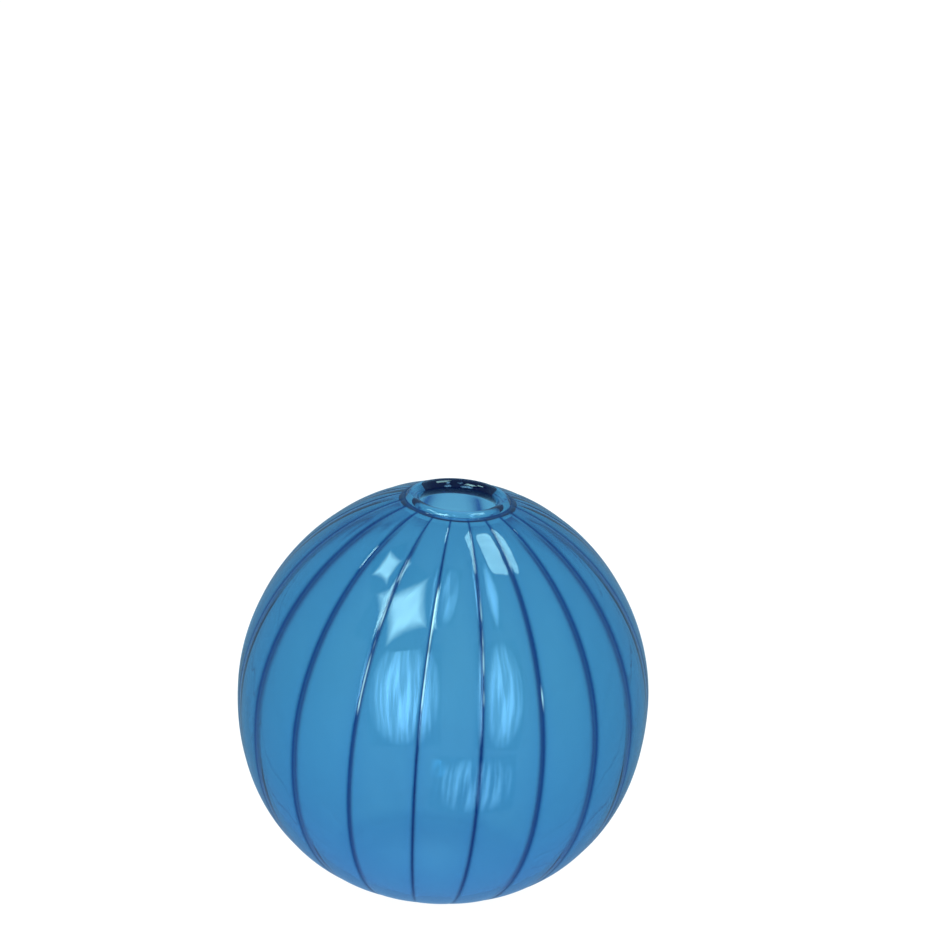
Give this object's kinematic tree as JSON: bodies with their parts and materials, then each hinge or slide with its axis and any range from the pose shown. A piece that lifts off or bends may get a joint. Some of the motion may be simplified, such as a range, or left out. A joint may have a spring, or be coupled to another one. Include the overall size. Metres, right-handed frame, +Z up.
{
  "type": "glass bud vase",
  "caption": "Ball-shaped blue glass bud vase, blown with fine vertical flutes, with a rolled lip round a narrow round mouth and a thick flat base.",
  "frame": {"origin": "centre of the flat ring the vase stands on, at table height", "axes": "+Z up along the vase's axis, through the middle of the mouth"},
  "size_m": [0.1, 0.1, 0.0975],
  "materials": {
    "ball_glass": "clear blue transparent glass, fire polished, thin wall",
    "lip_glass": "clear blue transparent glass, fire polished, thick rounded rim",
    "base_glass": "clear blue transparent glass, thicker and deeper in colour"
  },
  "bodies": {
    "root": {"blown_ball": "ball_glass", "rolled_lip": "lip_glass", "base_pad": "base_glass"}
  },
  "joints": []
}
